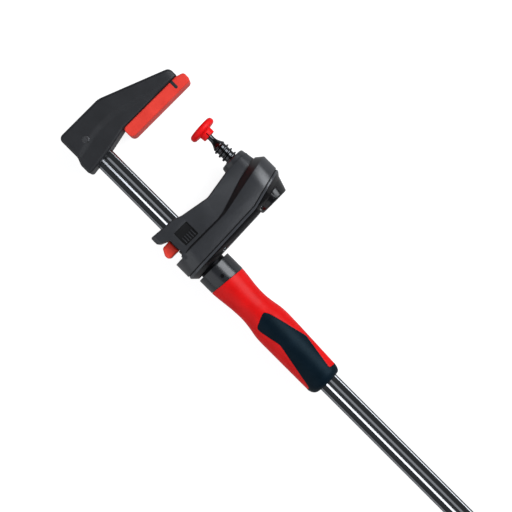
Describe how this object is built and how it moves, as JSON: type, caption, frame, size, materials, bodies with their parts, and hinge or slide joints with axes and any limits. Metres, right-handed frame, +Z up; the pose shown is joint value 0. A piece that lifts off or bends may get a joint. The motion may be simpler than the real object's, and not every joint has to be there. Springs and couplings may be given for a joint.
{
  "type": "quick release bar clamp",
  "caption": "Bar clamp: grooved steel rail, padded fixed jaw, sliding arm whose hollow handle drives a geared spindle with a swivelling pressure plate, and a release button.",
  "frame": {"origin": "on the rail's long axis, in the plane of the fixed pad's clamping face", "axes": "+X along the rail from the fixed jaw to the handle, +Y from the rail towards the spindle, +Z up out of the side that faces the viewer; the clamp lies on its side"},
  "size_m": [0.5342, 0.1081, 0.038],
  "materials": {
    "rail_steel": "drawn steel, satin",
    "jaw_plastic": "moulded, fine grain",
    "pin_steel": "turned",
    "pad_red": "soft moulding, satin",
    "arm_plastic": "moulded, fine grain",
    "cover_plastic": "moulded, fine grain",
    "screw_steel": "blackened",
    "nut_steel": "turned",
    "gear_steel": "sintered",
    "spring_steel": "blackened",
    "handle_red": "moulded, semi-gloss",
    "grip_black": "soft overmoulding",
    "collar_black": "moulded, semi-gloss",
    "spindle_black": "blackened steel, oiled",
    "plate_red": "soft moulding, satin",
    "lock_steel": "hardened plate",
    "button_red": "moulded, satin"
  },
  "bodies": {
    "root": {"rail": "rail_steel", "fixed_jaw": "jaw_plastic", "jaw_pin": "pin_steel", "fixed_jaw_pad": "pad_red", "rail_end_stop": "pin_steel"},
    "arm": {"arm_housing": "arm_plastic", "gear_cover": "cover_plastic", "cover_screws": "screw_steel", "guide_bush": "nut_steel", "idler_shaft_a": "gear_steel", "idler_shaft_b": "gear_steel", "thrust_washer": "gear_steel", "lock_spring": "spring_steel"},
    "handle": {"handle_core": "handle_red", "handle_grip": "grip_black", "handle_collar": "collar_black", "collar_pin": "pin_steel", "drive_gear": "gear_steel"},
    "idler_a": {"idler_gear_a": "gear_steel"},
    "idler_b": {"idler_gear_b": "gear_steel"},
    "nut": {"nut_gear": "gear_steel", "spindle_nut": "nut_steel"},
    "spindle": {"spindle": "spindle_black"},
    "plate": {"pressure_plate": "plate_red"},
    "release": {"lock_plates": "lock_steel", "release_button": "button_red"}
  },
  "joints": [
    {"name": "arm_slide", "type": "slide", "parent": "root", "child": "arm", "axis": [1, 0, 0], "range_m": [-0.0198, 0.2485]},
    {"name": "handle_turn", "type": "hinge", "parent": "arm", "child": "handle", "pos_m": [0.17, 0, 0], "axis": [-1, 0, 0], "range_deg": [-1695, 615]},
    {"name": "idler_a_turn", "type": "hinge", "parent": "arm", "child": "idler_a", "pos_m": [0.097, 0.0245, 0], "axis": [-1, 0, 0], "range_deg": [-821, 2261]},
    {"name": "idler_b_turn", "type": "hinge", "parent": "arm", "child": "idler_b", "pos_m": [0.097, 0.0455, 0], "axis": [-1, 0, 0], "range_deg": [-2261, 821]},
    {"name": "nut_turn", "type": "hinge", "parent": "arm", "child": "nut", "pos_m": [0.097, 0.068, 0], "axis": [-1, 0, 0], "range_deg": [-718.5, 1978.5]},
    {"name": "spindle_feed", "type": "slide", "parent": "arm", "child": "spindle", "axis": [-1, 0, 0], "range_m": [-0.022, 0.008]},
    {"name": "plate_swivel", "type": "hinge", "parent": "spindle", "child": "plate", "pos_m": [0.0365, 0.068, 0], "axis": [0, 0, 1], "range_deg": [-9.3, 2.7]},
    {"name": "release_press", "type": "hinge", "parent": "arm", "child": "release", "pos_m": [0.082, 0.0125, 0], "axis": [0, 0, 1], "range_deg": [0, 6], "stiffness_Nm_per_rad": 1, "springref_deg": -8.59, "deforming": ["lock_spring"]}
  ],
  "couplings": [
    {"joint": "idler_a_turn", "follows": "handle_turn", "ratio": -1.3333},
    {"joint": "idler_b_turn", "follows": "handle_turn", "ratio": 1.3333},
    {"joint": "nut_turn", "follows": "handle_turn", "ratio": -1.1667},
    {"joint": "spindle_feed", "follows": "handle_turn", "m_per_rad": 0.00074272}
  ]
}
